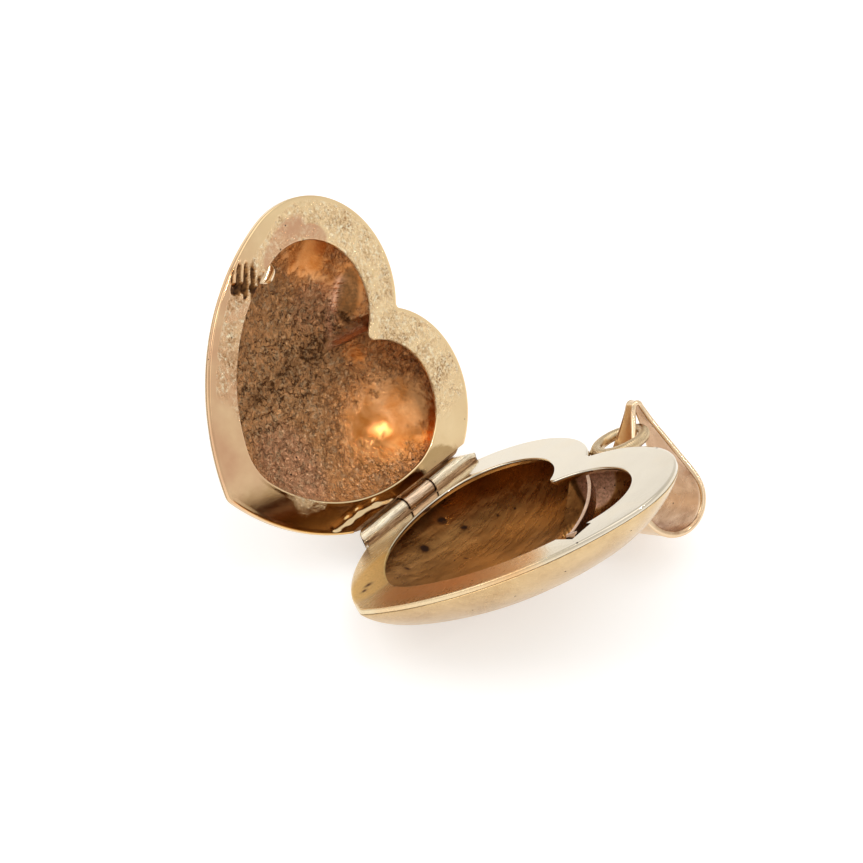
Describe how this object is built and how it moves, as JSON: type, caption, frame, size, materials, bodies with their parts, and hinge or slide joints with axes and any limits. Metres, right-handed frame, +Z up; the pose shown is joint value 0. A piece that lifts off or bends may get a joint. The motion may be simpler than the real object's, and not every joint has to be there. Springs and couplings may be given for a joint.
{
  "type": "locket",
  "caption": "Heart-shaped puffed pendant locket, lying open on a knuckle hinge, with a snap catch, a wire ring at the cleft and a folded leaf bail.",
  "frame": {"origin": "bottom centre of the bounding box, with the locket open at a right angle and lying on its hinge side", "axes": "+Y along the hinge axis, from the heart's point towards its lobes; +X across, from the lid towards the back half; +Z up"},
  "size_m": [0.0342, 0.0274, 0.023],
  "materials": {
    "polished_gold": null,
    "worn_gold": "drawn and filed gold alloy, dulled by wear",
    "matte_gold": "rose gold alloy, matte and tarnished inside the fold"
  },
  "bodies": {
    "back": {"back_shell": "polished_gold", "back_rim": "polished_gold", "back_hinge_plate": "worn_gold", "back_knuckle_point": "worn_gold", "back_knuckle_lobe": "worn_gold", "hinge_pin": "worn_gold", "bail_ring": "worn_gold"},
    "front": {"front_shell": "polished_gold", "front_rim": "polished_gold", "front_hinge_plate": "worn_gold", "front_knuckle": "worn_gold", "catch_keeper": "worn_gold"},
    "catch": {"catch_spring": "worn_gold"},
    "bail": {"bail": "matte_gold"}
  },
  "joints": [
    {"name": "lid_hinge", "type": "hinge", "parent": "back", "child": "front", "pos_m": [-0.00431, 0.00123, 0.00187], "axis": [0, 1, 0], "range_deg": [-20, 90]},
    {"name": "bail_swing", "type": "hinge", "parent": "back", "child": "bail", "pos_m": [0.00814, 0.0115, 0.00813], "axis": [0.8465, -0.2113, 0.4887], "range_deg": [-12, 180]},
    {"name": "catch_flex", "type": "hinge", "parent": "back", "child": "catch", "pos_m": [0.00864, 0.00441, 0.009], "axis": [-0.5, 0, 0.866], "range_deg": [-2.5, 0], "stiffness_Nm_per_rad": 0.05}
  ]
}
